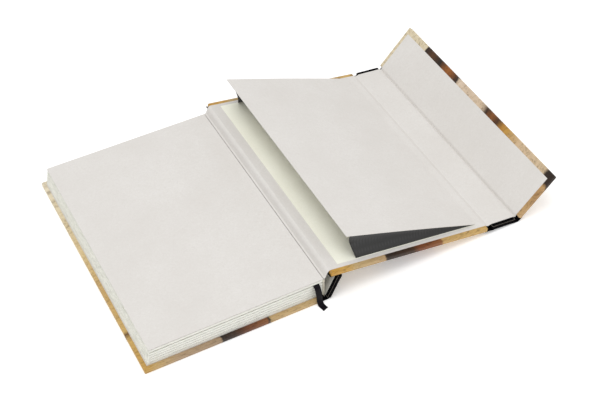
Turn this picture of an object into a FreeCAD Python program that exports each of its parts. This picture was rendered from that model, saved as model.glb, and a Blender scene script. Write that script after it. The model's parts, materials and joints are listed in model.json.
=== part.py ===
"""A case-bound photo album with a fold-over flap, lying open at its last page.

The front cover lies flat with the whole text block on it.  The spine leans out, the back
cover slopes down to the right with its gusseted pocket standing open, and the fore-edge
strip and the flap follow it.  Lengths are in millimetres.  The sections below are drawn in
the x-z plane with the gutter at x = 0 and the resting plane at z = 0; the finished solids
are moved so that the origin is the centre of the front cover's underside.
"""
import FreeCAD, Part
import math
import os

V = FreeCAD.Vector

# Text block
leaf_height = 180.0
leaf_width = 122.0
leaf_thickness = 0.2
leaf_play = 0.05
section_count = 6
section_back = 2.3
section_fore = 2.1
section_step = 0.4
block_inset = 1.4
thread_diameter = 0.5
thread_stations = 5
mull_thickness = 0.25
mull_inset = 10.0
spine_lining_thickness = 0.3
lining_foot = 0.5
band_radius = 0.9
leaf_hinge_step = 0.4

# Ribbon marker
ribbon_width = 4.2
ribbon_thickness = 0.3
ribbon_gap = 0.5
ribbon_inset = 6.8
ribbon_section = 5

# Case
board = 2.8
sheet = 0.3
square = 3.0
joint_width = 4.6
turn_in = 3.0
lining_step = 2.6
fold_play = 0.6
closed_play = 1.07
hinge_inset = 0.67
hinge_x = -1.0
front_hinge_x = -3.0
hinge_clearance = 0.2
cloth_lip = 2.0
back_end_lift = 2.19

# Spine
spine_board_thickness = 2.4
spine_lean = 24.0
spine_foot = 1.5
spine_hinge = (0.5, 1.6)
spine_head_drop = 1.3

# Pocket
pocket_inset = 7.0
pocket_sheet = 0.25
panel_thickness = 0.4
panel_length = 108.0
panel_rise = 0.32
panel_angle = 12.2
gusset_thickness = 0.3
gusset_foot = 14.0
pocket_end_inset = 6.0
gusset_drop = 0.6
gusset_tip = 3.0

# Flap and its catch
flap_width = 39.5
flap_angle = 48.0
flap_play = 0.33
magnet_diameter = 10.0
magnet_thickness = 1.5
magnet_inset = 11.5
magnet_spacing = 90.0
disc_thickness = 0.5

# Worked out from the sizes above
leaf_half = leaf_height / 2
cover_half = leaf_half + square
cover_thickness = board + 2 * sheet
half_thickness = cover_thickness / 2
block_base = cover_thickness + leaf_thickness
block_fore = leaf_width + section_step * (section_count - 1)
cover_fore = block_fore + square
fold_gap = cover_thickness + fold_play
magnet_reach = flap_width - magnet_inset
gutter_x = (cover_fore + joint_width) / 2


def section_thickness(x):
    """Thickness of one section at x: the folds swell the back, so it thins to the fore-edge."""
    slope = (section_back - section_fore) / leaf_width
    return section_back + slope * (x + block_inset)


def level(count, x, raised=0.0):
    """Height at x of the top of so many sections."""
    return block_base + count * section_thickness(x) + raised


def slab(x0, x1, half_y, z0, z1):
    """A box that is centred in y."""
    return Part.makeBox(x1 - x0, 2 * half_y, z1 - z0, V(x0, -half_y, z0))


def prism(points, y0, y1):
    """An outline in the x-z plane drawn out along y."""
    wire = Part.makePolygon([V(x, y0, z) for x, z in points + points[:1]])
    return Part.Face(wire).extrude(V(0, y1 - y0, 0))


def layer(fore, back, bottom, thickness):
    """A sheet between the fore-edge and the back whose underside is at the height bottom(x)."""
    outline = [(fore, bottom(fore)), (back, bottom(back))]
    outline += [(x, z + thickness) for x, z in reversed(outline)]
    return prism(outline, -leaf_half, leaf_half)


def seat(shape, pivot, tilt):
    """A shape drawn about its hinge, turned so that its right end drops, and set on the hinge."""
    seated = shape.copy()
    seated.rotate(V(0, 0, 0), V(0, 1, 0), tilt)
    seated.translate(V(pivot[0], 0, pivot[1]))
    return seated


def along(pivot, tilt, u, w):
    """The point that is u along and w above a panel's hinge line."""
    turn = math.radians(tilt)
    x = pivot[0] + u * math.cos(turn) + w * math.sin(turn)
    z = pivot[1] - u * math.sin(turn) + w * math.cos(turn)
    return x, z


def case_panel(x0, x1, z0, core, near, far):
    """Board, wrapped covering and inlaid lining of a case panel lying with its lining up."""
    z1 = z0 + core + 2 * sheet
    body = slab(x0, x1, cover_half, z0, z1)
    stiff = slab(x0 + sheet, x1 - sheet, cover_half - sheet, z0 + sheet, z1 - sheet)
    lining = slab(x0 + near, x1 - far, cover_half - turn_in, z1 - sheet, z1)
    return stiff, body.cut(stiff).cut(lining), lining


def disc_pair(x, z, diameter, thickness):
    """Two upright discs, one each side of the middle."""
    pair = []
    for side in (-1, 1):
        centre = V(x, side * magnet_spacing / 2, z)
        pair.append(Part.makeCylinder(diameter / 2, thickness, centre))
    return Part.makeCompound(pair)


def band(points, thickness):
    """Outline of a strip of even thickness along a line of points."""
    sides = ([], [])
    for i, (a, b) in enumerate(points):
        before = points[max(i - 1, 0)]
        after = points[min(i + 1, len(points) - 1)]
        turn_a = math.atan2(b - before[1], a - before[0])
        turn_b = math.atan2(after[1] - b, after[0] - a)
        if i == 0:
            turn_a = turn_b
        if i == len(points) - 1:
            turn_b = turn_a
        middle = (turn_a + turn_b) / 2
        reach = thickness / 2 / math.cos((turn_b - turn_a) / 2)
        for side, sign in zip(sides, (1, -1)):
            side.append((a - sign * reach * math.sin(middle), b + sign * reach * math.cos(middle)))
    return sides[0] + sides[1][::-1]


nodes = {}

# Front cover: flat on the table, lining up
front_board, front_paper, front_pastedown = case_panel(
    -cover_fore, -joint_width, 0, board, lining_step, lining_step)

# Text block: sections, leaves, sewing and the linings of its back
nodes["front_flyleaf"] = slab(
    -block_fore, -block_inset, leaf_half, cover_thickness, block_base)
for number in range(section_count):
    raised = ribbon_gap if number >= ribbon_section else 0.0
    fore = leaf_width + section_step * (section_count - 1 - number)
    nodes[f"section_{number + 1}"] = prism(
        [(-fore, level(number, -fore, raised)),
         (-block_inset, level(number, -block_inset, raised)),
         (-block_inset, level(number + 1, -block_inset, raised)),
         (-fore, level(number + 1, -fore, raised))], -leaf_half, leaf_half)

block_top = level(section_count, -block_inset, ribbon_gap)
thread_x = -block_inset + thread_diameter / 2
mull_x = -block_inset + thread_diameter
lining_x = mull_x + mull_thickness
stitches = []
for station in range(thread_stations):
    share = station / (thread_stations - 1) - 0.5
    foot = V(thread_x, share * 2 * (leaf_half - mull_inset), block_base + section_back / 2)
    stitches.append(Part.makeCylinder(thread_diameter / 2, block_top - section_back / 2 - foot.z, foot))
nodes["sewing_thread"] = Part.makeCompound(stitches)
nodes["mull"] = slab(mull_x, lining_x, leaf_half - mull_inset, block_base, block_top)
nodes["spine_lining"] = slab(
    lining_x, lining_x + spine_lining_thickness, leaf_half - sheet, lining_foot, block_top)
for name, side in (("headband", 1), ("tailband", -1)):
    bead = Part.makeCylinder(band_radius, block_top - block_base, V(mull_x, side * leaf_half, block_base))
    outside = slab(mull_x - band_radius, lining_x, cover_half, block_base, block_top)
    nodes[name] = bead.common(outside).cut(slab(-block_fore, 0, leaf_half, 0, block_top))
nodes["front_joint_cloth"] = slab(
    front_hinge_x + hinge_clearance, lining_x + spine_lining_thickness, cover_half,
    lining_foot - mull_thickness, lining_foot)

# Ribbon: flat between two sections, over the tail edge and onto the table
ribbon_rise = level(ribbon_section, -ribbon_inset, ribbon_gap / 2)
ribbon_route = [
    (leaf_half - 2.0, ribbon_rise), (-leaf_half - 0.3, ribbon_rise), (-leaf_half - 1.6, 14.2),
    (-cover_half - 0.4, 5.0), (-cover_half - 0.7, 2.2), (-cover_half - 1.6, 0.5),
    (-cover_half - 3.0, 0.2), (-cover_half - 6.5, 0.2)]
ribbon_start = -ribbon_inset - ribbon_width / 2
ribbon_edge = [V(ribbon_start, y, z) for y, z in band(ribbon_route, ribbon_thickness)]
ribbon_face = Part.Face(Part.makePolygon(ribbon_edge + ribbon_edge[:1]))
nodes["ribbon_marker"] = ribbon_face.extrude(V(ribbon_width, 0, 0))

# The two leaves at the end of the block, which turn on the sewing
leaf_bottom = ribbon_gap + leaf_play
leaf_back = -block_inset - leaf_hinge_step / 2
nodes["last_leaf"] = layer(
    -leaf_width, leaf_back - leaf_hinge_step,
    lambda x: level(section_count, x, leaf_bottom), leaf_thickness)
flyleaf_bottom = leaf_bottom + leaf_thickness + leaf_play
nodes["back_flyleaf"] = layer(
    -leaf_width, leaf_back, lambda x: level(section_count, x, flyleaf_bottom), leaf_thickness)

# Back cover, drawn about the line that it closes on
back_closed = block_top + flyleaf_bottom - ribbon_gap + leaf_thickness + closed_play
back_hinge = (hinge_x, back_closed + cover_thickness - hinge_inset)
back_end = cover_fore + hinge_x
strip_reach = back_end + fold_gap / 2
middle = half_thickness - hinge_inset
end_height = half_thickness + back_end_lift
back_tilt = math.degrees(math.atan2(middle, strip_reach) + math.asin(
    (back_hinge[1] - end_height) / math.hypot(middle, strip_reach)))
back_start = joint_width + hinge_x
back_parts = dict(zip(("back_board", "back_cover_paper", "back_lining"), case_panel(
    back_start, back_end, -hinge_inset, board, lining_step, lining_step)))
back_parts["back_joint_cloth"] = slab(
    back_start - cloth_lip, back_start, cover_half, -hinge_inset, sheet - hinge_inset)

# Pocket: base sheet on the lining, a gusset at each end, and the card panel
lining_top = cover_thickness - hinge_inset
pocket_top = lining_top + pocket_sheet
pocket_half = cover_half - pocket_end_inset
panel_u = back_end - pocket_inset
panel_w = pocket_top + panel_rise
back_parts["pocket_base"] = slab(
    panel_u - panel_length, panel_u, pocket_half, lining_top, pocket_top)
open_angle = math.radians(panel_angle)
gusset_reach = panel_length - 2 * gusset_drop
gusset = [(panel_u - gusset_tip, pocket_top),
          (panel_u - panel_length + gusset_foot, pocket_top),
          (panel_u - gusset_reach * math.cos(open_angle),
           panel_w + gusset_reach * math.sin(open_angle) - gusset_drop),
          (panel_u - gusset_tip, pocket_top + panel_rise / 2)]
gusset_edge = pocket_half - gusset_thickness / 2
back_parts["gusset_head"] = prism(gusset, gusset_edge - gusset_thickness, gusset_edge)
back_parts["gusset_tail"] = prism(gusset, -gusset_edge, gusset_thickness - gusset_edge)
for name, shape in back_parts.items():
    nodes[name] = seat(shape, back_hinge, back_tilt)
panel_hinge = along(back_hinge, back_tilt, panel_u, panel_w)
nodes["pocket_panel"] = seat(
    slab(-panel_length, 0, pocket_half, -panel_thickness / 2, panel_thickness / 2),
    panel_hinge, back_tilt + panel_angle)

# Fore-edge strip: runs from the back cover down to the table, as deep as the closed block
strip_hinge = along(back_hinge, back_tilt, strip_reach, middle)
strip_pitch = back_hinge[1] - middle + half_thickness + flap_play
strip_tilt = math.degrees(math.asin((strip_hinge[1] - half_thickness) / strip_pitch))
strip_board, strip_cloth, strip_liner = case_panel(
    fold_gap / 2, strip_pitch - fold_gap / 2, -half_thickness, board, sheet, sheet)
strip_lips = slab(sheet, strip_pitch - sheet, cover_half, -half_thickness, sheet - half_thickness)
strip_parts = {"strip_board": strip_board, "strip_liner": strip_liner,
               "strip_cloth": strip_cloth.fuse(strip_lips).removeSplitter()}
for name, shape in strip_parts.items():
    nodes[name] = seat(shape, strip_hinge, strip_tilt)

# Flap, with a pair of magnets that meet steel discs in the front cover
flap_hinge = along(strip_hinge, strip_tilt, strip_pitch, 0)
flap_board, flap_paper, flap_lining = case_panel(
    fold_gap / 2, flap_width, -half_thickness, board, sheet, lining_step + 2)
magnets = disc_pair(
    magnet_reach, half_thickness - sheet - magnet_thickness, magnet_diameter, magnet_thickness)
flap_parts = {"flap_board": flap_board.cut(magnets), "flap_paper": flap_paper,
              "flap_lining": flap_lining, "flap_magnets": magnets}
for name, shape in flap_parts.items():
    nodes[name] = seat(shape, flap_hinge, -flap_angle)
discs = disc_pair(hinge_x - strip_reach + magnet_reach, sheet, magnet_diameter, disc_thickness)
nodes["catch_discs"] = discs
nodes["front_board"] = front_board.cut(discs)
nodes["front_cover_paper"] = front_paper
nodes["front_pastedown"] = front_pastedown

# Spine, drawn flat with its lining up and stood on its foot
spine_core, spine_cloth, spine_liner = case_panel(
    spine_foot - spine_hinge[1], back_hinge[1] - spine_head_drop - spine_hinge[1],
    spine_hinge[0] - spine_board_thickness - 2 * sheet, spine_board_thickness, sheet, sheet)
for name, shape in (("spine_board", spine_core), ("spine_cloth", spine_cloth),
                    ("spine_liner", spine_liner)):
    nodes[name] = seat(shape, spine_hinge, spine_lean - 90)

os.makedirs("parts", exist_ok=True)
for name, shape in nodes.items():
    placed = shape.copy()
    placed.translate(V(gutter_x, 0, 0))
    placed.exportStep(f"parts/{name}.step")
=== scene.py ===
import bpy
import bmesh
import json
import math
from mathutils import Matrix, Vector


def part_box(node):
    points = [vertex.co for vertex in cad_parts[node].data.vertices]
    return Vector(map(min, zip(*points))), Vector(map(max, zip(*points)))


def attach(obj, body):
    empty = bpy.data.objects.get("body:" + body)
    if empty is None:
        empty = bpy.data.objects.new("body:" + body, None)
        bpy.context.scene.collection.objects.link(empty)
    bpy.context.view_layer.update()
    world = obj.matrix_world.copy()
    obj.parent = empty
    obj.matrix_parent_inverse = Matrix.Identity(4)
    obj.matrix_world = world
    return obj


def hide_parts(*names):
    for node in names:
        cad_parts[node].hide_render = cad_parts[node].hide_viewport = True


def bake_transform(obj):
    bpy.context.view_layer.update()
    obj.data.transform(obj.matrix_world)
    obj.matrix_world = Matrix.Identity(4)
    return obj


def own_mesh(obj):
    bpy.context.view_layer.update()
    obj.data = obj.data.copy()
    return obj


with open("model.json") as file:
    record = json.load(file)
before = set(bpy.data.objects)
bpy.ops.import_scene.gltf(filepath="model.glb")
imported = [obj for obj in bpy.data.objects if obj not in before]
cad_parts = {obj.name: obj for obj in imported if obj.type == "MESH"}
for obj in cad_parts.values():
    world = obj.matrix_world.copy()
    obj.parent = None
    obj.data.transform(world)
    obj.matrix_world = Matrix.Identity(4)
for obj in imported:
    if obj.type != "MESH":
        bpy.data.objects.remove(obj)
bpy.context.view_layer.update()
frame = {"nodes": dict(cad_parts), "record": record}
mm = 0.001
print("frame loaded:", len(frame["nodes"]), "nodes")

# The hinge lines and ranges come from the record, in millimetres and degrees
joints = {j["name"]: j for j in frame["record"]["behaviour"]["joints"]}


def hingeAt(name):
    x, _, z = joints[name]["pos_m"]
    return x / mm, z / mm


def turnOf(name, end):
    return joints[name]["range_deg"][end]


def nodeBox(name):
    low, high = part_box(name)
    return [value / mm for value in low], [value / mm for value in high]


# Sizes of the case that every panel shares
case = {
    "thickness": 3.4,       # board and its papers
    "hingeInset": 0.67,     # back hinge above the outer face
    "foldGap": 4.0,         # cloth joint between two boards
    "backStart": 3.6,       # back board's edge, from the back hinge
    "flapWidth": 39.5,
    "blockInset": 1.4,      # back of the sections, from the gutter
    "square": 3.0,          # how far the case stands out from the leaves
    "edgeRound": 0.55,      # soft edge of a wrapped board
    "turnIn": 13.0,         # paper folded over onto the inside
    "turnInThickness": 0.2,
    "mitre": 0.12,          # half the slit where two turn-ins meet
    "lining": 0.3,
    "lap": 0.02,            # covering shell over the turn-ins' level
}
halfCase = case["thickness"] / 2
backHinge = hingeAt("back_cover_closing")
stripHinge = hingeAt("fore_edge_folding")
flapHinge = hingeAt("flap_folding")
panelHinge = hingeAt("pocket_closing")
spineHinge = hingeAt("spine_rocking")
stripPitch = math.dist(stripHinge, flapHinge)
stripTilt = math.degrees(math.asin((stripHinge[1] - flapHinge[1]) / stripPitch))
backReach = math.dist(backHinge, stripHinge)
backTilt = math.degrees(
    math.atan2(backHinge[1] - stripHinge[1], stripHinge[0] - backHinge[0])
    + math.asin((halfCase - case["hingeInset"]) / backReach))
flapTilt = turnOf("flap_folding", 0)
panelTilt = backTilt + turnOf("pocket_closing", 1)
spineTilt = turnOf("spine_rocking", 1) - 90
backEnd = math.sqrt(backReach ** 2 - (halfCase - case["hingeInset"]) ** 2) - case["foldGap"] / 2
frontLow, frontHigh = nodeBox("front_cover_paper")
caseHalf = frontHigh[1]
_, leafHigh = nodeBox("section_1")
gutter = leafHigh[0] + case["blockInset"]


def panelFrame(hinge, tilt):
    # maps a point drawn along and above a panel's hinge line to the row frame
    turn = math.radians(tilt)

    def place(u, w):
        x = hinge[0] + u * math.cos(turn) + w * math.sin(turn)
        z = hinge[1] - u * math.sin(turn) + w * math.cos(turn)
        return x, z
    return place


onTable = panelFrame((0, 0), 0)
onBack = panelFrame(backHinge, backTilt)
onStrip = panelFrame(stripHinge, stripTilt)
onFlap = panelFrame(flapHinge, flapTilt)
onPanel = panelFrame(panelHinge, panelTilt)
onSpine = panelFrame(spineHinge, spineTilt)

# Camera
view = {
    "place": (-0.19222, -0.54162, 0.61095),
    "turn": (44.873, 0.0, -27.956),
    "lens": 74.2,
}
cameraData = bpy.data.cameras.new("camera")
cameraData.lens = view["lens"]
cameraData.sensor_width = 36
cameraData.clip_start = 0.05
camera = bpy.data.objects.new("camera", cameraData)
camera.location = view["place"]
camera.rotation_euler = [math.radians(angle) for angle in view["turn"]]
bpy.context.collection.objects.link(camera)
bpy.context.scene.camera = camera


# Materials
def linear(hexColour):
    # sRGB hex to the linear colour that the shader wants
    parts = [int(hexColour[i:i + 2], 16) / 255 for i in (1, 3, 5)]
    return [p / 12.92 if p <= 0.04045 else ((p + 0.055) / 1.055) ** 2.4 for p in parts] + [1]


def addNode(tree, kind, inputs=None, **settings):
    node = tree.nodes.new(kind)
    for key, value in settings.items():
        setattr(node, key, value)
    for key, value in (inputs or {}).items():
        if isinstance(value, bpy.types.NodeSocket):
            tree.links.new(value, node.inputs[key])
        else:
            node.inputs[key].default_value = value
    return node


def startMaterial(name, **surface):
    material = bpy.data.materials.new(name)
    material.use_nodes = True
    tree = material.node_tree
    shader = tree.nodes["Principled BSDF"]
    for key, value in surface.items():
        shader.inputs[key.replace("_", " ")].default_value = value
    coords = addNode(tree, "ShaderNodeTexCoord").outputs["Object"]
    return material, tree, shader, coords


def fillRamp(node, stops):
    ramp = node.color_ramp
    while len(ramp.elements) > 1:
        ramp.elements.remove(ramp.elements[0])
    ramp.elements[0].position = stops[0][0]
    ramp.elements[0].color = linear(stops[0][1])
    for place, tint in stops[1:]:
        ramp.elements.new(place).color = linear(tint)
    return node.outputs["Color"]


def perMetre(sizeMm):
    # texture scale that gives features of this size
    return 1000 / sizeMm


def addBump(tree, shader, height, strength, depthMm):
    bump = addNode(tree, "ShaderNodeBump", {"Strength": strength, "Distance": depthMm * mm, "Height": height})
    tree.links.new(bump.outputs["Normal"], shader.inputs["Normal"])


def makePaper(name, settings):
    # Uncoated book paper, machine made: matt, with a faint fibre mottle and felt-side tooth
    material, tree, shader, coords = startMaterial(name, Roughness=settings["roughness"], IOR=1.5)
    shader.inputs["Specular IOR Level"].default_value = 0.3
    mottle = addNode(tree, "ShaderNodeTexNoise",
                     {"Vector": coords, "Scale": perMetre(settings["mottle"]),
                      "Detail": 5.0, "Roughness": 0.6})
    fibre = addNode(tree, "ShaderNodeTexNoise",
                    {"Vector": coords, "Scale": perMetre(settings["fibre"]),
                     "Detail": 3.0, "Distortion": 1.2})
    blend = addNode(tree, "ShaderNodeMath",
                    {0: mottle.outputs["Fac"], 1: fibre.outputs["Fac"]}, operation="MULTIPLY")
    ramp = addNode(tree, "ShaderNodeValToRGB", {"Fac": blend.outputs["Value"]})
    shade = fillRamp(ramp, [(0.08, settings["dark"]), (0.42, settings["light"])])
    tree.links.new(shade, shader.inputs["Base Color"])
    addBump(tree, shader, fibre.outputs["Fac"], settings["tooth"], 0.08)
    return material


def makeEdgePaper(name, settings):
    # Trimmed leaf edges of the same stock: the cut stack reads as fine lines along the leaves
    material, tree, shader, coords = startMaterial(name, Roughness=0.85, IOR=1.5)
    shader.inputs["Specular IOR Level"].default_value = 0.2
    stretched = addNode(tree, "ShaderNodeMapping", {"Vector": coords, "Scale": (1.0, 1.0, 12.0)})
    layers = addNode(tree, "ShaderNodeTexNoise",
                     {"Vector": stretched.outputs["Vector"], "Scale": perMetre(settings["leafGroup"] * 12),
                      "Detail": 4.0, "Roughness": 0.7})
    ramp = addNode(tree, "ShaderNodeValToRGB", {"Fac": layers.outputs["Fac"]})
    shade = fillRamp(ramp, [(0.3, settings["dark"]), (0.6, settings["light"])])
    tree.links.new(shade, shader.inputs["Base Color"])
    addBump(tree, shader, layers.outputs["Fac"], 0.25, 0.1)
    return material


def makeCloth(name, settings):
    # Starched book cloth: plain weave, two thread directions, almost no gloss
    # its threads are about 0.3 mm apart and the black one is drawn coarser so that they show
    material, tree, shader, coords = startMaterial(name, Roughness=0.8, IOR=1.45)
    shader.inputs["Sheen Weight"].default_value = settings["sheen"]
    shader.inputs["Sheen Roughness"].default_value = 0.5
    shader.inputs["Specular IOR Level"].default_value = 0.03
    # at scale 1 the wave texture has twenty bands to the unit
    waveScale = perMetre(settings["thread"]) / 20
    across = addNode(tree, "ShaderNodeTexWave",
                     {"Vector": coords, "Scale": waveScale, "Distortion": 0.4,
                      "Detail": 1.0, "Detail Scale": 2.0}, bands_direction="X")
    along = addNode(tree, "ShaderNodeTexWave",
                    {"Vector": coords, "Scale": waveScale, "Distortion": 0.4,
                     "Detail": 1.0, "Detail Scale": 2.0}, bands_direction="Y")
    weave = addNode(tree, "ShaderNodeMath",
                    {0: across.outputs["Fac"], 1: along.outputs["Fac"]}, operation="MULTIPLY")
    slub = addNode(tree, "ShaderNodeTexNoise",
                   {"Vector": coords, "Scale": perMetre(6), "Detail": 4.0})
    total = addNode(tree, "ShaderNodeMath",
                    {0: weave.outputs["Value"], 1: slub.outputs["Fac"]}, operation="MULTIPLY")
    ramp = addNode(tree, "ShaderNodeValToRGB", {"Fac": total.outputs["Value"]})
    shade = fillRamp(ramp, [(0.0, settings["dark"]), (0.5, settings["light"])])
    tree.links.new(shade, shader.inputs["Base Color"])
    addBump(tree, shader, weave.outputs["Value"], 0.4, 0.08)
    return material


def makeSatin(name, settings):
    # Woven satin ribbon: floats run along its length, so it is smooth with a soft lengthwise gloss
    material, tree, shader, coords = startMaterial(name, Roughness=0.38, IOR=1.5)
    shader.inputs["Sheen Weight"].default_value = 0.03
    shader.inputs["Specular IOR Level"].default_value = 0.07
    shader.inputs["Anisotropic"].default_value = 0.5
    lengthwise = addNode(tree, "ShaderNodeMapping", {"Vector": coords, "Scale": (1.0, 0.06, 1.0)})
    floats = addNode(tree, "ShaderNodeTexNoise",
                     {"Vector": lengthwise.outputs["Vector"], "Scale": perMetre(0.35), "Detail": 2.0})
    ramp = addNode(tree, "ShaderNodeValToRGB", {"Fac": floats.outputs["Fac"]})
    shade = fillRamp(ramp, [(0.3, settings["dark"]), (0.7, settings["light"])])
    tree.links.new(shade, shader.inputs["Base Color"])
    addBump(tree, shader, floats.outputs["Fac"], 0.2, 0.05)
    return material


def makeMarbled(name, settings):
    # Printed covering paper, offset on uncoated stock: stained parchment with tortoiseshell pools
    # matt, with broad tints that drift along one edge and fine dark veins
    material, tree, shader, coords = startMaterial(name, Roughness=0.55, IOR=1.5)
    shader.inputs["Specular IOR Level"].default_value = 0.35
    split = addNode(tree, "ShaderNodeSeparateXYZ", {"Vector": coords})
    swirl = addNode(tree, "ShaderNodeTexNoise",
                    {"Vector": coords, "Scale": perMetre(14), "Detail": 5.0,
                     "Roughness": 0.6, "Distortion": 1.5})

    def tintAlong(axis, start, end, drift, stops):
        shift = addNode(tree, "ShaderNodeMath",
                        {0: swirl.outputs["Fac"], 1: drift * mm, 2: -drift * mm / 2},
                        operation="MULTIPLY_ADD")
        moved = addNode(tree, "ShaderNodeMath", {0: split.outputs[axis], 1: shift.outputs["Value"]})
        share = addNode(tree, "ShaderNodeMapRange",
                        {"Value": moved.outputs["Value"], "From Min": start * mm, "From Max": end * mm})
        ramp = addNode(tree, "ShaderNodeValToRGB", {"Fac": share.outputs["Result"]})
        return fillRamp(ramp, [((place - start) / (end - start), tint) for place, tint in stops])

    tint = tintAlong(settings["axis"], settings["from"], settings["to"], settings["drift"], settings["stops"])
    if "edge" in settings:
        # one edge of the sheet shows another part of the print, blended in over 3 mm
        edge = settings["edge"]
        other = tintAlong(edge["axis"], edge["from"], edge["to"], edge["drift"], edge["stops"])
        atEdge = addNode(tree, "ShaderNodeMapRange",
                         {"Value": split.outputs[edge["across"]], "From Min": edge["at"] * mm,
                          "From Max": (edge["at"] + 3) * mm, "To Min": 1.0, "To Max": 0.0})
        mixed = addNode(tree, "ShaderNodeMix", {0: atEdge.outputs["Result"], 6: tint, 7: other},
                        data_type="RGBA")
        tint = mixed.outputs[2]
    grain = addNode(tree, "ShaderNodeMapping", {"Vector": coords, "Scale": (0.35, 1.0, 1.0)})
    veins = addNode(tree, "ShaderNodeTexNoise",
                    {"Vector": grain.outputs["Vector"], "Scale": perMetre(5), "Detail": 8.0,
                     "Roughness": 0.72, "Distortion": 2.2})
    veinRamp = addNode(tree, "ShaderNodeValToRGB", {"Fac": veins.outputs["Fac"]})
    veinTint = fillRamp(veinRamp, [(0.36, "#5a4328"), (0.47, "#e8e2d6"), (0.62, "#ffffff")])
    aged = addNode(tree, "ShaderNodeMix", {0: settings["veining"], 6: tint, 7: veinTint},
                   data_type="RGBA", blend_type="MULTIPLY")
    tree.links.new(aged.outputs[2], shader.inputs["Base Color"])
    rough = addNode(tree, "ShaderNodeMapRange",
                    {"Value": veins.outputs["Fac"], "To Min": 0.42, "To Max": 0.68})
    tree.links.new(rough.outputs["Result"], shader.inputs["Roughness"])
    addBump(tree, shader, veins.outputs["Fac"], 0.12, 0.06)
    return material


def makeBoard(name):
    # Greyboard, rolled from waste paper: flat grey brown with dark flecks
    material, tree, shader, coords = startMaterial(name, Roughness=0.9, IOR=1.5)
    fleck = addNode(tree, "ShaderNodeTexNoise", {"Vector": coords, "Scale": perMetre(1.5), "Detail": 6.0})
    ramp = addNode(tree, "ShaderNodeValToRGB", {"Fac": fleck.outputs["Fac"]})
    shade = fillRamp(ramp, [(0.3, "#6b655c"), (0.7, "#9a9287")])
    tree.links.new(shade, shader.inputs["Base Color"])
    addBump(tree, shader, fleck.outputs["Fac"], 0.2, 0.1)
    return material


def makeMetal(name, tint, roughness):
    # Plated steel disc: bright metal with a fine turned finish
    material, tree, shader, coords = startMaterial(name, Roughness=roughness, Metallic=1.0)
    turned = addNode(tree, "ShaderNodeTexNoise", {"Vector": coords, "Scale": perMetre(0.6), "Detail": 3.0})
    ramp = addNode(tree, "ShaderNodeValToRGB", {"Fac": turned.outputs["Fac"]})
    shade = fillRamp(ramp, [(0.3, tint), (0.7, "#d8d6d0")])
    tree.links.new(shade, shader.inputs["Base Color"])
    return material


endpaper = makePaper("endpaper uncoated", {
    "light": "#e3e0dc", "dark": "#dad6d1", "mottle": 40, "fibre": 1.6, "tooth": 0.12, "roughness": 0.8})
# the pocket base's colour is painted lighter than its cream paper really is: painted light that offsets the
# shade falling under the pocket panel
pocketPaper = makePaper("pocket base cream paper", {
    "light": "#fbfbee", "dark": "#f4f4e4", "mottle": 30, "fibre": 1.4, "tooth": 0.12, "roughness": 0.8})
pageEdges = makeEdgePaper("trimmed page edges", {"light": "#f4f3ec", "dark": "#d9dacf", "leafGroup": 0.5})
whitePaper = makePaper("spine lining paper", {
    "light": "#eceae2", "dark": "#dbd8ce", "mottle": 12, "fibre": 1.0, "tooth": 0.2, "roughness": 0.85})
blackCloth = makeCloth("black book cloth", {
    "light": "#0f0e10", "dark": "#070608", "thread": 0.6, "sheen": 0.0})
greyCloth = makeCloth("grey book cloth", {
    "light": "#505050", "dark": "#484848", "thread": 0.35, "sheen": 0.06})
cottonCloth = makeCloth("cotton mull and thread", {
    "light": "#efece2", "dark": "#cfcabb", "thread": 0.9, "sheen": 0.2})
satin = makeSatin("satin ribbon", {"light": "#17131a", "dark": "#0c0a0e"})
greyBoard = makeBoard("greyboard")
discSteel = makeMetal("zinc plated steel", "#a9a9a6", 0.35)
magnetNickel = makeMetal("nickel plated magnet", "#b8b3a8", 0.2)

frontLeft = frontLow[0]
frontPaper = makeMarbled("stained parchment paper front", {
    "axis": "X", "from": frontLeft, "to": gutter, "drift": 7, "veining": 0.6,
    "stops": [(frontLeft, "#c9a45c"), (frontLeft + 11, "#c4a877"), (frontLeft + 22, "#b39a7c"),
              (frontLeft + 51.5, "#a58e74"), (frontLeft + 52.5, "#2a211c"), (frontLeft + 62, "#3c2a20"),
              (frontLeft + 70, "#6a3f26"), (frontLeft + 84, "#8a5a36"), (frontLeft + 86, "#2e241c"),
              (frontLeft + 87, "#c2a678"), (gutter, "#cdb283")],
    "edge": {"axis": "Y", "from": -caseHalf, "to": caseHalf, "drift": 12, "across": "X", "at": frontLeft + 3,
             "stops": [(-88, "#c8a158"), (-66, "#cdab66"), (-61, "#6b4a2a"), (-58, "#cfae6c"),
                       (-20, "#cbaa70"), (10, "#d8c08e"), (45, "#e2d2ae"), (90, "#e9dfc8")]}})
backLeft = onBack(case["backStart"], 0)[0]
backPaper = makeMarbled("stained parchment paper back", {
    "axis": "X", "from": backLeft, "to": backLeft + 122, "drift": 6, "veining": 0.6,
    "stops": [(backLeft, "#c99a45"), (backLeft + 13, "#cfa65a"), (backLeft + 18, "#c8ad7c"),
              (backLeft + 40.5, "#bfa27a"), (backLeft + 41.5, "#33271f"), (backLeft + 62, "#46301f"),
              (backLeft + 67, "#7a4526"), (backLeft + 84, "#8e5a33"), (backLeft + 85, "#c7a56a"),
              (backLeft + 122, "#d0ad6c")]})
flapStart, flapTip = onFlap(case["foldGap"] / 2, 0)[0], onFlap(case["flapWidth"], 0)[0]
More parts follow.
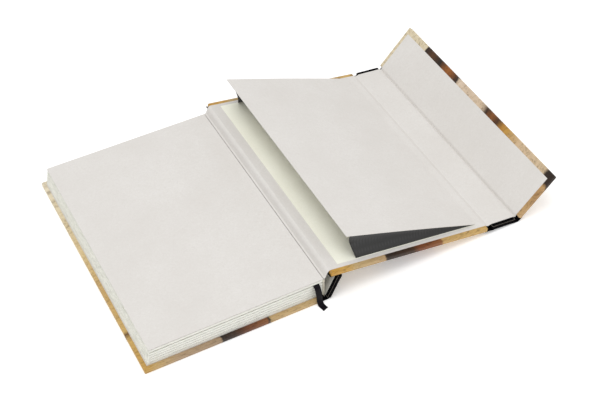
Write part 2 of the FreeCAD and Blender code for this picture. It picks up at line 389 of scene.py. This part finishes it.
flapPaper = makeMarbled("stained parchment paper flap", {
    "axis": "Y", "from": -caseHalf, "to": caseHalf, "drift": 9, "veining": 0.6,
    "stops": [(-87, "#3a281c"), (-85, "#d6c0a0"), (-56, "#d6bd9c"), (-40, "#c59a4c"),
              (-34, "#b98539"), (-28, "#4a2f1c"), (-20, "#8a5526"), (-14, "#3d2819"),
              (-8, "#d9c3a8"), (22, "#dcc8b2"), (24, "#2b1f18"), (38, "#a4642b"), (46, "#221a15"),
              (58, "#5c3c22"), (65, "#241b16"), (66.5, "#e0d3b6")],
    "edge": {"axis": "X", "from": flapStart, "to": flapTip, "drift": 4, "across": "Y", "at": -87,
             "stops": [(flapStart, "#c9a878"), (flapStart + 12, "#b08a5c"), (flapStart + 17, "#c09a68"),
                       (flapStart + 18.5, "#33241a"), (flapTip, "#2c1f17")]}})
print("materials made")


# Mesh tools
def addPiece(name, points, faces, material, smoothAngle=35):
    mesh = bpy.data.meshes.new(name)
    mesh.from_pydata([[c * mm for c in p] for p in points], [], faces)
    mesh.update()
    work = bmesh.new()
    work.from_mesh(mesh)
    bmesh.ops.recalc_face_normals(work, faces=work.faces)
    work.to_mesh(mesh)
    work.free()
    mesh.shade_smooth()
    mesh.set_sharp_from_angle(angle=math.radians(smoothAngle))
    mesh.materials.append(material)
    piece = bpy.data.objects.new(name, mesh)
    bpy.context.collection.objects.link(piece)
    return piece


def wrappedBoard(name, place, u, y, w, material, rounding):
    # a board with soft wrapped edges, drawn flat and set on its panel
    work = bmesh.new()
    bmesh.ops.create_cube(work, size=1)
    for vertex in work.verts:
        vertex.co.x = u[0] if vertex.co.x < 0 else u[1]
        vertex.co.y = y[0] if vertex.co.y < 0 else y[1]
        vertex.co.z = w[0] if vertex.co.z < 0 else w[1]
    bmesh.ops.bevel(work, geom=work.edges[:], offset=rounding, segments=4, profile=0.5, affect="EDGES")
    points = []
    for vertex in work.verts:
        x, z = place(vertex.co.x, vertex.co.z)
        points.append((x, vertex.co.y, z))
    work.verts.index_update()
    faces = [[vertex.index for vertex in face.verts] for face in work.faces]
    work.free()
    return addPiece(name, points, faces, material, 60)


def smoothLine(points, steps):
    # a Catmull-Rom curve through the points
    ends = [points[0]] + list(points) + [points[-1]]
    line = []
    for i in range(1, len(ends) - 2):
        p0, p1, p2, p3 = ends[i - 1:i + 3]
        for step in range(steps):
            t = step / steps
            line.append(tuple(
                0.5 * (2 * b + (c - a) * t + (2 * a - 5 * b + 4 * c - d) * t ** 2
                       + (3 * b - a - 3 * c + d) * t ** 3)
                for a, b, c, d in zip(p0, p1, p2, p3)))
    return line + [tuple(points[-1])]


def profileSheet(name, line, thickness, y, rows, material, lift=None):
    # a sheet of even thickness whose section is the line, drawn out along y
    outline = []
    for side in (1, -1):
        points = line if side == 1 else line[::-1]
        for i, (x, z) in enumerate(points):
            before, after = points[max(i - 1, 0)], points[min(i + 1, len(points) - 1)]
            length = math.dist(before, after)
            outline.append((x - (after[1] - before[1]) / length * thickness / 2,
                            z + (after[0] - before[0]) / length * thickness / 2))
    count = len(outline)
    points = []
    for row in range(rows + 1):
        along = y[0] + (y[1] - y[0]) * row / rows
        for x, z in outline:
            points.append((x, along, z + (lift(x, along) if lift else 0)))
    faces = []
    for row in range(rows):
        for i in range(count):
            a, b = row * count + i, row * count + (i + 1) % count
            faces.append((a, b, b + count, a + count))
    half = count // 2
    for row in (0, rows):
        base = row * count
        for i in range(half - 1):
            faces.append((base + i, base + i + 1, base + count - 2 - i, base + count - 1 - i))
    return addPiece(name, points, faces, material)


def turnInStrips(name, place, u, w, sides, material):
    # the covering folded over onto the inside, with mitred corners
    width, gap = case["turnIn"], case["mitre"]
    inset = case["edgeRound"] * 0.4
    x0, x1, y1 = u[0] + inset, u[1] - inset, caseHalf - inset
    inner = y1 - width
    outlines = {
        "tail": [(x0 + gap, -y1), (x1 - gap, -y1), (x1 - width, -inner), (x0 + width, -inner)],
        "head": [(x0 + width, inner), (x1 - width, inner), (x1 - gap, y1), (x0 + gap, y1)],
        "low": [(x0, gap - y1), (x0 + width, gap - inner), (x0 + width, inner - gap), (x0, y1 - gap)],
        "high": [(x1, gap - y1), (x1 - width, gap - inner), (x1 - width, inner - gap), (x1, y1 - gap)],
    }
    points, faces = [], []
    for side in sides:
        start = len(points)
        for height in (w, w + case["turnInThickness"]):
            for along, across in outlines[side]:
                x, z = place(along, height)
                points.append((x, across, z))
        faces += [[start + i for i in (3, 2, 1, 0)], [start + i for i in (4, 5, 6, 7)]]
        for i in range(4):
            j = (i + 1) % 4
            faces.append((start + i, start + j, start + 4 + j, start + 4 + i))
    return addPiece(name, points, faces, material)


def label(piece, slot, nodes):
    if nodes:
        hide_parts(*nodes)


def keep(piece, body, slot, *nodes):
    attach(piece, body)
    label(piece, slot, nodes)


def bend(piece, first, second, start, end, slot, *nodes):
    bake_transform(piece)
    label(piece, slot, nodes)


# Ribbon marker
ribbon = {
    "width": 4.2,
    "thickness": 0.3,
    "x": gutter - 6.8,
    "freeFrom": -91,        # past the tail edge it hangs free
    "endShift": 2.2,        # how far its end swings towards the spine
    "endReach": 8,
    "slant": 1.6,           # its end is cut on a slant
    "cup": 0.12,            # and the free part cups very slightly
    "route": [(88.0, 15.31), (50.0, 15.31), (0.0, 15.31), (-50.0, 15.31), (-84.0, 15.31), (-90.6, 15.3),
              (-92.2, 13.2), (-93.5, 7.5), (-93.9, 3.0), (-95.0, 0.45), (-97.0, 0.22), (-99.4, 0.22)],
}


def readRoute(points):
    # the smooth line that the route's NURBS curve makes
    curve = bpy.data.curves.new("route", "CURVE")
    curve.dimensions = "3D"
    spline = curve.splines.new("NURBS")
    spline.points.add(len(points) - 1)
    for target, point in zip(spline.points, points):
        target.co = (*[c * mm for c in point], 1)
    spline.order_u = 3
    spline.use_endpoint_u = True
    spline.resolution_u = 8
    holder = bpy.data.objects.new("route", curve)
    bpy.context.collection.objects.link(holder)
    bpy.context.view_layer.update()
    mesh = bpy.data.meshes.new_from_object(holder.evaluated_get(bpy.context.evaluated_depsgraph_get()))
    line = [tuple(c / mm for c in vertex.co) for vertex in mesh.vertices]
    bpy.data.objects.remove(holder)
    return line


ribbonPoints = []
for y, z in ribbon["route"]:
    swing = ribbon["endShift"] * max(0, (ribbon["freeFrom"] - y) / ribbon["endReach"])
    ribbonPoints.append((ribbon["x"] + swing, y, z))
ribbonLine = readRoute(ribbonPoints)
points, faces = [], []
across = 6
for i, (x, y, z) in enumerate(ribbonLine):
    before, after = ribbonLine[max(i - 1, 0)], ribbonLine[min(i + 1, len(ribbonLine) - 1)]
    run = Vector(after) - Vector(before)
    normal = Vector((0, -run.z, run.y)).normalized() * (-1 if run.y < 0 else 1)
    if abs(run.y) < 1e-6:
        normal = Vector((0, -1, 0))
    share = i / (len(ribbonLine) - 1)
    for side in (1, -1):
        for j in range(across + 1):
            step = j / across if side == 1 else 1 - j / across
            slant = (step - 0.5) * ribbon["slant"] if i == len(ribbonLine) - 1 else 0
            cup = ribbon["cup"] * math.cos((step - 0.5) * math.pi) if y < ribbon["freeFrom"] else 0
            spot = Vector((x + (step - 0.5) * ribbon["width"], y + slant, z))
            spot += normal * (side * ribbon["thickness"] / 2 + cup)
            points.append(tuple(spot))
ring = 2 * (across + 1)
for i in range(len(ribbonLine) - 1):
    for j in range(ring):
        a, b = i * ring + j, i * ring + (j + 1) % ring
        faces.append((a, b, b + ring, a + ring))
faces += [list(range(ring))[::-1], [len(points) - ring + j for j in range(ring)]]
ribbonPiece = addPiece("ribbonMarker", points, faces, satin)
keep(ribbonPiece, "text_block", "satin_ribbon", "ribbon_marker")
ribbonLength = sum(math.dist(a, b) for a, b in zip(ribbonLine, ribbonLine[1:]))
[c * mm for c in ribbonLine[0]]
[[c * mm for c in p] for p in ribbonLine]
print("ribbon made, mm:", round(ribbonLength, 1))

# Text block
block = {
    "sections": 6,
    "leaves": 12,
    "backPitch": 2.3,
    "forePitch": 2.1,
    "leafWidth": 120.6,
    "leafHeight": 180,
    "step": 0.4,
    "leafShare": 0.82,      # of a leaf's pitch that is paper
    "ribbonSection": 5,
    "ribbonGap": 0.5,
    "sectionGap": 0.42,     # line that shows between two sections
    "play": 0.1,            # how unevenly the leaves are trimmed
    "seed": 7,
}


def startTree(name, sockets):
    tree = bpy.data.node_groups.new(name, "GeometryNodeTree")
    for label, kind in sockets:
        tree.interface.new_socket(label, in_out="INPUT", socket_type="NodeSocket" + kind)
    tree.interface.new_socket("Geometry", in_out="OUTPUT", socket_type="NodeSocketGeometry")
    return tree, addNode(tree, "NodeGroupInput").outputs


def bakeTree(name, tree, values, material):
    # runs the tree once and keeps its result as a plain mesh
    piece = bpy.data.objects.new(name, bpy.data.meshes.new(name))
    bpy.context.collection.objects.link(piece)
    modifier = piece.modifiers.new("build", "NODES")
    modifier.node_group = tree
    for item in tree.interface.items_tree:
        if item.in_out == "INPUT" and item.name in values:
            modifier[item.identifier] = values[item.name]
    bpy.context.view_layer.update()
    evaluated = piece.evaluated_get(bpy.context.evaluated_depsgraph_get())
    mesh = bpy.data.meshes.new_from_object(evaluated)
    piece.modifiers.remove(modifier)
    piece.data = mesh
    if not mesh.materials:
        mesh.materials.append(material)
    return piece


def buildLeafTree():
    tree, given = startTree("leafStack", [
        ("Sections", "Int"), ("Leaves", "Int"), ("Leaf Width", "Float"), ("Leaf Height", "Float"),
        ("Back Pitch", "Float"), ("Fore Pitch", "Float"), ("Paper Share", "Float"), ("Step", "Float"),
        ("Ribbon Section", "Int"), ("Ribbon Gap", "Float"), ("Section Gap", "Float"), ("Play", "Float"),
        ("Seed", "Int"), ("Back", "Vector"), ("Material", "Material")])

    def calc(operation, *values):
        return addNode(tree, "ShaderNodeMath", dict(enumerate(values)), operation=operation).outputs["Value"]

    count = calc("MULTIPLY", given["Sections"], given["Leaves"])
    line = addNode(tree, "GeometryNodeMeshLine", {"Count": count, "Offset": (0.0, 0.0, 0.0)})
    index = addNode(tree, "GeometryNodeInputIndex").outputs["Index"]
    section = calc("FLOOR", calc("DIVIDE", index, given["Leaves"]))
    within = calc("SUBTRACT", index, calc("MULTIPLY", section, given["Leaves"]))
    # each leaf lies on the one below; a section closes up a little so that its neighbours show a line
    middle = calc("MULTIPLY", calc("SUBTRACT", given["Leaves"], 1.0), 0.5)
    squeeze = calc("MULTIPLY", calc("SUBTRACT", middle, within),
                   calc("DIVIDE", given["Section Gap"], given["Leaves"]))
    lifted = calc("MULTIPLY", calc("COMPARE", section, given["Ribbon Section"], 0.1), given["Ribbon Gap"])
    stacked = calc("MULTIPLY", calc("ADD", index, 0.5), given["Back Pitch"])
    height = calc("ADD", calc("ADD", stacked, lifted), squeeze)
    place = addNode(tree, "ShaderNodeCombineXYZ", {"Z": height})
    raised = addNode(tree, "ShaderNodeVectorMath", {0: place.outputs["Vector"], 1: given["Back"]})
    points = addNode(tree, "GeometryNodeSetPosition",
                     {"Geometry": line.outputs["Mesh"], "Position": raised.outputs["Vector"]})
    thickness = calc("MULTIPLY", given["Fore Pitch"], given["Paper Share"])
    size = addNode(tree, "ShaderNodeCombineXYZ",
                   {"X": given["Leaf Width"], "Y": given["Leaf Height"], "Z": thickness})
    leaf = addNode(tree, "GeometryNodeMeshCube", {"Size": size.outputs["Vector"], "Vertices Y": 3})
    shift = addNode(tree, "ShaderNodeCombineXYZ", {"X": calc("MULTIPLY", given["Leaf Width"], -0.5)})
    hung = addNode(tree, "GeometryNodeTransform",
                   {"Geometry": leaf.outputs["Mesh"], "Translation": shift.outputs["Vector"]})
    taper = calc("SUBTRACT", given["Fore Pitch"], given["Back Pitch"])
    slope = calc("DIVIDE", calc("MULTIPLY", calc("ADD", index, 0.5), taper), given["Leaf Width"])
    turn = addNode(tree, "ShaderNodeCombineXYZ", {"Y": slope})
    chance = addNode(tree, "FunctionNodeRandomValue",
                     {2: 0.0, 3: given["Play"], "ID": index, "Seed": given["Seed"]}, data_type="FLOAT")
    fromTop = calc("SUBTRACT", calc("SUBTRACT", given["Sections"], 1.0), section)
    extra = calc("SUBTRACT", calc("MULTIPLY", fromTop, given["Step"]), chance.outputs[1])
    stretch = calc("DIVIDE", calc("ADD", given["Leaf Width"], extra), given["Leaf Width"])
    scale = addNode(tree, "ShaderNodeCombineXYZ", {"X": stretch, "Y": 1.0, "Z": 1.0})
    stack = addNode(tree, "GeometryNodeInstanceOnPoints",
                    {"Points": points.outputs["Geometry"], "Instance": hung.outputs["Geometry"],
                     "Rotation": turn.outputs["Vector"], "Scale": scale.outputs["Vector"]})
    real = addNode(tree, "GeometryNodeRealizeInstances", {"Geometry": stack.outputs["Instances"]})
    coated = addNode(tree, "GeometryNodeSetMaterial",
                     {"Geometry": real.outputs["Geometry"], "Material": given["Material"]})
    addNode(tree, "NodeGroupOutput", {"Geometry": coated.outputs["Geometry"]})
    return tree


leafHalf = block["leafHeight"] / 2
blockBase = nodeBox("front_flyleaf")[1][2]
pages = bakeTree("textBlock", buildLeafTree(), {
    "Sections": block["sections"], "Leaves": block["leaves"], "Leaf Width": block["leafWidth"] * mm,
    "Leaf Height": block["leafHeight"] * mm, "Back Pitch": block["backPitch"] / block["leaves"] * mm,
    "Fore Pitch": block["forePitch"] / block["leaves"] * mm, "Paper Share": block["leafShare"],
    "Step": block["step"] * mm, "Ribbon Section": block["ribbonSection"],
    "Ribbon Gap": block["ribbonGap"] * mm, "Section Gap": block["sectionGap"] * mm,
    "Play": block["play"] * mm, "Seed": block["seed"],
    "Back": (leafHigh[0] * mm, 0, blockBase * mm), "Material": pageEdges}, pageEdges)
keep(pages, "text_block", "page_paper", *[f"section_{i + 1}" for i in range(block["sections"])])
print("text block leaves made:", len(pages.data.polygons), "faces")


def buildWrapTree():
    tree, given = startTree("threadWraps", [
        ("Count", "Int"), ("Pitch", "Float"), ("Radius", "Float"), ("Start", "Vector"), ("Lean", "Float"),
        ("Material", "Material")])
    stride = addNode(tree, "ShaderNodeCombineXYZ", {"Z": given["Pitch"]})
    line = addNode(tree, "GeometryNodeMeshLine",
                   {"Count": given["Count"], "Start Location": given["Start"],
                    "Offset": stride.outputs["Vector"]})
    depth = addNode(tree, "ShaderNodeMath", {0: given["Pitch"], 1: 0.86}, operation="MULTIPLY")
    wrap = addNode(tree, "GeometryNodeMeshCylinder",
                   {"Vertices": 16, "Radius": given["Radius"], "Depth": depth.outputs["Value"]})
    turn = addNode(tree, "ShaderNodeCombineXYZ", {"X": given["Lean"]})
    row = addNode(tree, "GeometryNodeInstanceOnPoints",
                  {"Points": line.outputs["Mesh"], "Instance": wrap.outputs["Mesh"],
                   "Rotation": turn.outputs["Vector"]})
    real = addNode(tree, "GeometryNodeRealizeInstances", {"Geometry": row.outputs["Instances"]})
    coated = addNode(tree, "GeometryNodeSetMaterial",
                     {"Geometry": real.outputs["Geometry"], "Material": given["Material"]})
    addNode(tree, "NodeGroupOutput", {"Geometry": coated.outputs["Geometry"]})
    return tree


band = {"pitch": 0.5, "radius": 0.75, "lean": 0.15, "standOff": 0.05}
wrapTree = buildWrapTree()
for name, node, side in (("headbandWraps", "headband", 1), ("tailbandWraps", "tailband", -1)):
    low, high = nodeBox(node)
    wraps = bakeTree(name, wrapTree, {
        "Count": int((high[2] - low[2]) / band["pitch"]) - 1, "Pitch": band["pitch"] * mm,
        "Radius": band["radius"] * mm, "Lean": band["lean"], "Material": cottonCloth,
        "Start": ((high[0] - band["radius"]) * mm, side * (leafHalf + band["standOff"]) * mm,
                  (low[2] + band["pitch"]) * mm)}, cottonCloth)
    keep(wraps, "text_block", "cotton", node)


flyleafSheet = {
    "thickness": 0.2,
    "rows": 40,
    "cockle": 0.1,          # height of the shallow, slow waves in the paper
    "flatReach": 40,        # they die out this near the sewing
}


def leafRipple(x, y):
    away = min(1, max(0, (gutter - x) / flyleafSheet["flatReach"]))
    return flyleafSheet["cockle"] * away * math.sin(x / 23 + 0.6) * math.sin(y / 31 + 1.1)


flyLow, _ = nodeBox("back_flyleaf")
flyBack = hingeAt("flyleaf_turning")
flyFore = (flyLow[0], flyLow[2] + flyleafSheet["thickness"] / 2)
flyLine = []
for i in range(flyleafSheet["rows"], -1, -1):
    share = i / flyleafSheet["rows"]
    flyLine.append(tuple(back + (fore - back) * share for back, fore in zip(flyBack, flyFore)))
flyleaf = profileSheet("backFlyleaf", flyLine, flyleafSheet["thickness"], (-leafHalf, leafHalf),
                       flyleafSheet["rows"], endpaper, lambda x, y: abs(leafRipple(x, y)))
keep(flyleaf, "back_flyleaf", "endpaper", "back_flyleaf")

# Case panels
spine = {"foot": -0.1, "top": 19.3, "outer": -2.5, "inner": 0.22}
boardTop = case["thickness"] - case["lining"]
backOuter, panelOuter = -case["hingeInset"], -halfCase
caseY = (-caseHalf, caseHalf)


def coverPanel(name, body, place, u, base, fourth, material, node):
    # the covering goes round the tail, the head and one more edge
    top = base + boardTop
    shell = wrappedBoard(name, place, u, caseY, (base, top + case["lap"]), material, case["edgeRound"])
    strips = turnInStrips(name + "TurnIns", place, u, top, ("tail", "head", fourth), material)
    keep(shell, body, "marbled_paper", node)
    keep(strips, body, "marbled_paper")


coverPanel("frontCover", "front_cover", onTable, (frontLow[0], frontHigh[0]), 0, "low", frontPaper,
           "front_cover_paper")
coverPanel("backCover", "back_cover", onBack, (case["backStart"], backEnd), backOuter, "high", backPaper,
           "back_cover_paper")
stripU = (case["foldGap"] / 2, stripPitch - case["foldGap"] / 2)
shell = wrappedBoard("foreEdgeStrip", onStrip, stripU, caseY,
                     (panelOuter, halfCase - case["lining"] + case["lap"]), blackCloth, case["edgeRound"])
keep(shell, "fore_edge_strip", "black_cloth", "strip_cloth")
coverPanel("flapCover", "flap", onFlap, (case["foldGap"] / 2, case["flapWidth"]), panelOuter, "high",
           flapPaper, "flap_paper")
shell = wrappedBoard("spineCover", onSpine, (spine["foot"], spine["top"]), caseY,
                     (spine["outer"], spine["inner"]), blackCloth, case["edgeRound"])
keep(shell, "spine", "black_cloth", "spine_cloth")
print("case panels made")

# Lining: one paper from the gutter to the flap, split where it bends
linings = {
    "rows": 12,
    "foldRows": 40,
    "foldEnd": 12.0,        # along the back cover
    "overlap": 0.1,         # of two lengths of the paper
    "grooveEdge": 3.9,      # where a panel's flat lining starts
    "flapEnd": 35.0,
}
liningHalf = caseHalf - case["square"]
liningY = (-liningHalf, liningHalf)
backLevel = case["thickness"] - case["hingeInset"] - case["lining"] / 2
panelLevel = halfCase - case["lining"] / 2
liningEnd = backEnd - 2.0


def midway(a, b):
    return (a[0] + b[0]) / 2, (a[1] + b[1]) / 2


def straight(place, start, end, level, steps):
    return [place(start + (end - start) * i / steps, level) for i in range(steps + 1)]


def flatLining(name, body, place, start, end, level, steps, node):
    piece = profileSheet(name, straight(place, start, end, level, steps), case["lining"],
                         liningY, linings["rows"], endpaper)
    keep(piece, body, "endpaper", node)


foldLine = smoothLine([
    (gutter - 1.3, flyBack[1] + 0.12), (gutter - 0.2, flyBack[1] + 0.5), (gutter + 0.6, flyBack[1] + 2.3),
    (gutter + 1.4, flyBack[1] + 4.3), onBack(3.5, backLevel - 0.2), onBack(5.0, backLevel + 0.05),
    onBack(8.0, backLevel), onBack(linings["foldEnd"], backLevel)], 6)
fold = profileSheet("gutterFold", foldLine, case["lining"], liningY, linings["foldRows"], endpaper)
bend(fold, "text_block", "back_cover", (gutter - 0.4, flyBack[1] + 0.2),
     onBack(case["backStart"], backLevel), "endpaper")
flatLining("backLining", "back_cover", onBack, linings["foldEnd"] - linings["overlap"], liningEnd,
           backLevel, 12, "back_lining")
flatLining("stripLining", "fore_edge_strip", onStrip, linings["grooveEdge"],
           stripPitch - linings["grooveEdge"], panelLevel, 4, "strip_liner")
flatLining("flapLining", "flap", onFlap, linings["grooveEdge"], linings["flapEnd"], panelLevel, 6,
           "flap_lining")

# Grooves between the boards: paper pressed in on the inside, cloth on the outside
groove = {
    "depth": 0.85,
    "clothEdge": 3.6,       # how far the cloth laps onto each panel
    "clothMiddle": 1.8,
    "halfBend": 1.9,        # half the width that bends
    "rows": 30,
}
reach = backEnd + case["foldGap"] / 2
edge, middle = groove["clothEdge"], groove["clothMiddle"]
grooves = {
    "foreGroovePaper": ("back_cover", "fore_edge_strip", endpaper, "endpaper", liningY, [
        onBack(liningEnd - linings["overlap"], backLevel), onBack(reach - 2.5, backLevel),
        onBack(reach - 1.3, backLevel - 0.5), onBack(reach, backLevel - groove["depth"]),
        onStrip(1.3, panelLevel - 0.5), onStrip(2.5, panelLevel), onStrip(4.0, panelLevel)]),
    "foreGrooveCloth": ("back_cover", "fore_edge_strip", blackCloth, "black_cloth", caseY, [
        onBack(reach - edge, backOuter + 0.2), onBack(reach - middle, backOuter + 0.35),
        onBack(reach, backOuter + 0.6), onStrip(middle, panelOuter + 0.35),
        onStrip(edge, panelOuter + 0.2)]),
    "flapGroovePaper": ("fore_edge_strip", "flap", endpaper, "endpaper", liningY, [
        onStrip(stripPitch - 4.0, panelLevel), onStrip(stripPitch - 2.5, panelLevel),
        onStrip(stripPitch - 1.4, panelLevel - 0.35),
        midway(onStrip(stripPitch, 1.0), onFlap(0, 1.0)), onFlap(1.4, panelLevel - 0.35),
        onFlap(2.5, panelLevel), onFlap(4.0, panelLevel)]),
    "flapGrooveCloth": ("fore_edge_strip", "flap", blackCloth, "black_cloth", caseY, [
        onStrip(stripPitch - edge, panelOuter + 0.2), onStrip(stripPitch - middle, panelOuter + 0.35),
        midway(onStrip(stripPitch, panelOuter + 0.35), onFlap(0, panelOuter + 0.35)),
        onFlap(middle, panelOuter + 0.35), onFlap(edge, panelOuter + 0.2)]),
}
for name, (first, second, material, slot, y, route) in grooves.items():
    piece = profileSheet(name, smoothLine(route, 5), case["lining"], y, groove["rows"], material)
    x, z = stripHinge if first == "back_cover" else flapHinge
    bend(piece, first, second, (x - groove["halfBend"], z), (x + groove["halfBend"], z), slot)

# Cloth joints of the spine
jointCloth = {"thickness": 0.25, "inset": 0.3, "rows": 20}
clothY = (-caseHalf + jointCloth["inset"], caseHalf - jointCloth["inset"])


def clothSheet(name, route):
    return profileSheet(name, smoothLine(route, 5), jointCloth["thickness"], clothY, jointCloth["rows"],
                        blackCloth)


piece = clothSheet("frontJointCloth", [
    (gutter - 5.4, 0.32), (gutter - 4.3, 0.3), (gutter - 2.6, 0.36), (gutter - 0.4, 0.5)])
bend(piece, "front_cover", "text_block", (gutter - 4.6, 0.3), (gutter - 3.0, 0.3), "black_cloth",
     "front_joint_cloth")
piece = clothSheet("spineFootCloth", [
    (gutter - 0.7, 0.52), (gutter + 0.7, 0.42), onSpine(0.1, -1.6), onSpine(1.4, -2.3)])
bend(piece, "text_block", "spine", (gutter - 0.3, 0.5), (gutter + 1.2, 0.5), "black_cloth")
piece = clothSheet("spineHeadCloth", [
    onSpine(spine["top"] - 3, -2.55), onSpine(spine["top"] - 0.2, -2.45),
    onSpine(spine["top"] + 0.75, -1.5), onSpine(spine["top"] + 0.5, -0.2)])
keep(piece, "spine", "black_cloth")
piece = clothSheet("backJointCloth", [
    onBack(9.0, -0.72), onBack(5.0, -0.76), onBack(3.4, -0.62), onBack(2.6, -0.1), onBack(3.0, 0.6)])
keep(piece, "back_cover", "black_cloth", "back_joint_cloth")
print("linings and joints made")

# Pocket
pocket = {
    "half": 87.0,
    "length": 108.0,
    "inset": 7.0,           # its hinge, from the back cover's end
    "base": 0.25,
    "baseLevel": 0.13,
    "card": 0.4,
    "cardSteps": 24,
    "bow": 0.5,             # how far the card arches between its edges
}
gusset = {
    "foot": 25.0,           # its mouth corner, along the back cover
    "hingeGap": 1.5,
    "cardStart": 2.5,
    "cardEnd": 3.0,
    "cardDrop": 0.4,        # it is glued under the card
    "sideInset": 0.45,
    "fold": 5.0,            # how far it tucks in at the mouth
    "level": 0.33,          # above the cover lining, in the gap that the closed card leaves
    "thickness": 0.12,
    "squeezed": 0.002,      # share of its height that is left when the pocket is shut
    "flatLength": 95,
}
baseTop = case["thickness"] - case["hingeInset"]
panelU = backEnd - pocket["inset"]
pocketY = (-pocket["half"], pocket["half"])
baseLine = straight(onBack, panelU - pocket["length"], panelU, baseTop + pocket["baseLevel"], 12)
piece = profileSheet("pocketBase", baseLine, pocket["base"], pocketY, 12, pocketPaper)
keep(piece, "back_cover", "page_paper", "pocket_base")
cardLine = []
for i in range(pocket["cardSteps"] + 1):
    share = i / pocket["cardSteps"]
    cardLine.append(onPanel(-pocket["length"] * (1 - share), pocket["bow"] * math.sin(share * math.pi)))
piece = profileSheet("pocketPanel", cardLine, pocket["card"], pocketY, pocket["cardSteps"], endpaper)
keep(piece, "pocket_panel", "white_card", "pocket_panel")


def makeGusset(name, side, node):
    # a cloth triangle from the hinge to the mouth, tucked inwards along its middle
    steps, rows = 24, 10
    points, faces = [], []
    edge = side * (pocket["half"] - gusset["sideInset"])
    level = baseTop + gusset["level"]
    start = panelU - gusset["hingeGap"]
    cardRun = pocket["length"] - gusset["cardStart"] - gusset["cardEnd"]
    for i in range(steps + 1):
        share = i / steps
        foot = onBack(start - share * (start - gusset["foot"]), level)
        reach = gusset["cardStart"] + share * cardRun
        arch = pocket["bow"] * math.sin((1 - reach / pocket["length"]) * math.pi)
        card = onPanel(-reach, arch - gusset["cardDrop"])
        for j in range(rows + 1):
            across = j / rows
            tuck = gusset["fold"] * share * (1 - abs(2 * across - 1) ** 1.4)
            points.append((foot[0] + (card[0] - foot[0]) * across, edge - side * tuck,
                           foot[1] + (card[1] - foot[1]) * across))
    for i in range(steps):
        for j in range(rows):
            a = i * (rows + 1) + j
            faces.append((a, a + 1, a + rows + 2, a + rows + 1))
    piece = addPiece(name, points, faces, greyCloth)
    thick = piece.modifiers.new("thickness", "SOLIDIFY")
    thick.thickness = gusset["thickness"] * mm
    thick.offset = 0
    keep(piece, "back_cover", "grey_cloth", node)
    foot = onBack(60, level)
    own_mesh(piece)


makeGusset("headGusset", 1, "gusset_head")
makeGusset("tailGusset", -1, "gusset_tail")
print("pocket made")

# The other CAD nodes keep their shapes and get their real finishes
finishes = {
    "front_board": greyBoard, "back_board": greyBoard, "spine_board": greyBoard,
    "strip_board": greyBoard, "flap_board": greyBoard, "front_pastedown": endpaper,
    "front_flyleaf": endpaper, "last_leaf": endpaper, "spine_lining": whitePaper,
    "spine_liner": whitePaper, "mull": cottonCloth, "sewing_thread": cottonCloth,
    "catch_discs": discSteel, "flap_magnets": magnetNickel,
}
for name, material in finishes.items():
    node = frame["nodes"][name]
    if node.material_slots:
        node.material_slots[0].material = material
    else:
        node.data.materials.append(material)

# Floor and studio light
studio = {
    "floor": "#f6f6f6",
    "floorSize": 30,
    "floorDrop": 0.0002,    # just under the covers
    "floorGlow": 0.32,      # lifts the floor to a clean white
    "keyPlace": (-0.25, -0.2, 1.5),
    "keySize": 0.9,
    "keyPower": 9.6,
    "fillPlace": (0.9, -0.6, 1.2),
    "fillSize": 1.6,
    "fillPower": 3.0,
    "sky": 0.62,
}
floorMaterial, _, floorShader, _ = startMaterial("matt studio paper", Roughness=0.95)
floorShader.inputs["Base Color"].default_value = linear(studio["floor"])
floorShader.inputs["Specular IOR Level"].default_value = 0.1
floorShader.inputs["Emission Color"].default_value = linear(studio["floor"])
floorShader.inputs["Emission Strength"].default_value = studio["floorGlow"]
bpy.ops.mesh.primitive_plane_add(size=studio["floorSize"], location=(0, 0, -studio["floorDrop"]))
floor = bpy.context.object
floor.name = "floor"
floor.data.materials.append(floorMaterial)


def addLight(name, place, size, power):
    light = bpy.data.lights.new(name, "AREA")
    light.shape = "SQUARE"
    light.size = size
    light.energy = power
    lamp = bpy.data.objects.new(name, light)
    lamp.location = place
    lamp.rotation_euler = (-Vector(place)).to_track_quat("-Z", "Y").to_euler()
    bpy.context.collection.objects.link(lamp)


addLight("key", studio["keyPlace"], studio["keySize"], studio["keyPower"])
addLight("fill", studio["fillPlace"], studio["fillSize"], studio["fillPower"])
world = bpy.data.worlds.new("studio")
world.use_nodes = True
world.node_tree.nodes["Background"].inputs["Color"].default_value = (1, 1, 1, 1)
world.node_tree.nodes["Background"].inputs["Strength"].default_value = studio["sky"]
bpy.context.scene.world = world
bpy.context.scene.view_settings.view_transform = "Standard"
print("stage lit")
